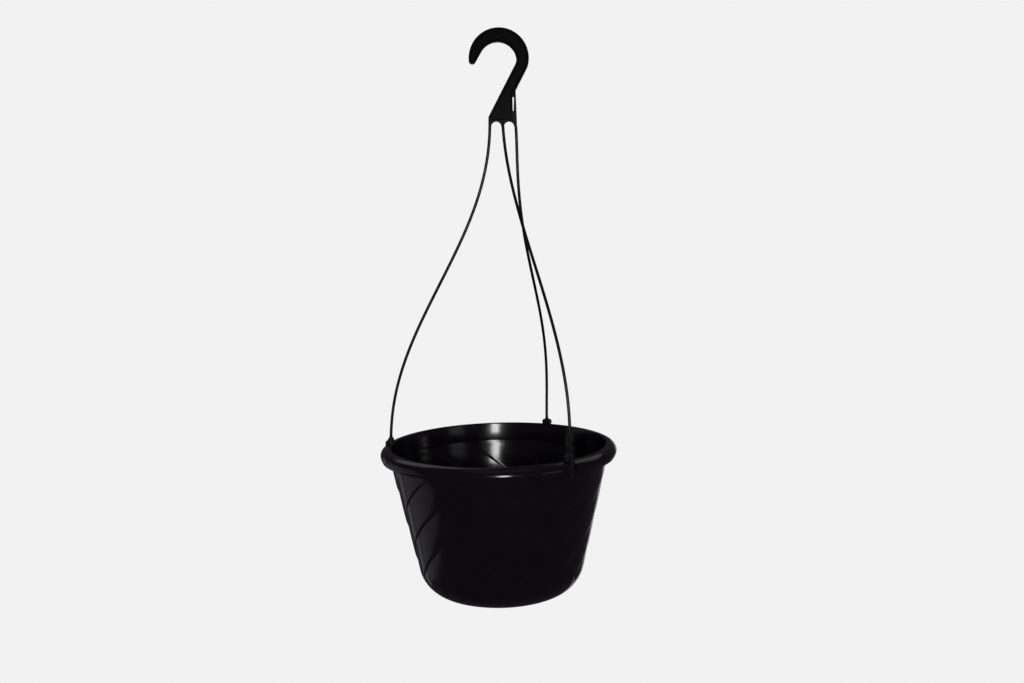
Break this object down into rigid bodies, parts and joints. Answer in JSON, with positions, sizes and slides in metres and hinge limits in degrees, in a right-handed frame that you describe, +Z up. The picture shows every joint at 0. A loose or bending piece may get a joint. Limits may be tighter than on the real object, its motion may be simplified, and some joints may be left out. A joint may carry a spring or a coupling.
{
  "type": "hanging basket",
  "caption": "Round swirl-fluted plastic plant pot with a rolled rim, hung from a flexible three-strand plastic hanger that ends in a flat open hook.",
  "frame": {"origin": "middle of the pot's underside, on the plane of its foot ring", "axes": "+Z up along the pot's axis to the hook; +X along the row of strand roots and the plane of the hook; +Y away from the viewer"},
  "size_m": [0.254, 0.254, 0.599],
  "materials": {
    "pot_plastic": "glossy injection-moulded black polypropylene",
    "hanger_plastic": "satin black polypropylene, faintly grained",
    "strand_plastic": "satin black polypropylene rod",
    "clip_plastic": "satin black polypropylene"
  },
  "bodies": {
    "pot": {"pot": "pot_plastic"},
    "rim_clips": {"clip_left": "clip_plastic", "clip_back": "clip_plastic", "clip_front": "clip_plastic"},
    "strands": {"strand_left": "strand_plastic", "strand_back": "strand_plastic", "strand_front": "strand_plastic"},
    "head": {"hook": "hanger_plastic", "web": "hanger_plastic"}
  },
  "joints": [
    {"name": "hanger_lift_off", "type": "slide", "parent": "pot", "child": "rim_clips", "axis": [0, 0, 1], "range_m": [0, 0.06]},
    {"name": "hanger_twist", "type": "hinge", "parent": "rim_clips", "child": "strands", "pos_m": [0.01276, 0, 0.3], "axis": [0, 0, 1], "range_deg": [-60, 60], "stiffness_Nm_per_rad": 0.03, "deforming": ["strand_left", "strand_back", "strand_front"]},
    {"name": "hook_tilt", "type": "hinge", "parent": "strands", "child": "head", "pos_m": [0.01276, 0, 0.47796], "axis": [0.9997, 0, -0.0255], "range_deg": [-35, 35], "stiffness_Nm_per_rad": 0.2}
  ]
}
